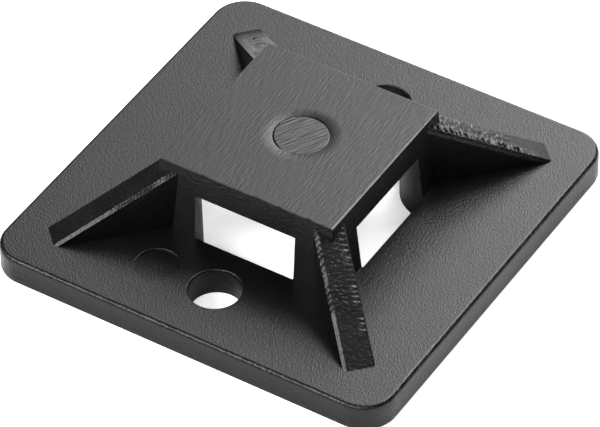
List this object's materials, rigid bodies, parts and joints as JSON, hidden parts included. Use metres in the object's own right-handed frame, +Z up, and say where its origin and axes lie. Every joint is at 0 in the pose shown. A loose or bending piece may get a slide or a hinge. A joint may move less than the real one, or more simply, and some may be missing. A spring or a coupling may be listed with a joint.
{
  "type": "cable tie mount",
  "caption": "Square moulded cable tie mount: screw-fixed base plate with a raised table on corner posts, open on every side so a tie can be threaded either way, braced by diagonal ribs.",
  "frame": {"origin": "centre of the base plate's underside", "axes": "+Z up, away from the surface that the plate is screwed to; the two screw holes lie on the Y axis and X runs across them"},
  "size_m": [0.028, 0.028, 0.0069],
  "materials": {
    "black_nylon": "moulded black nylon with a fine spark-eroded grain, satin"
  },
  "bodies": {
    "root": {"tie_mount": "black_nylon"}
  },
  "joints": []
}
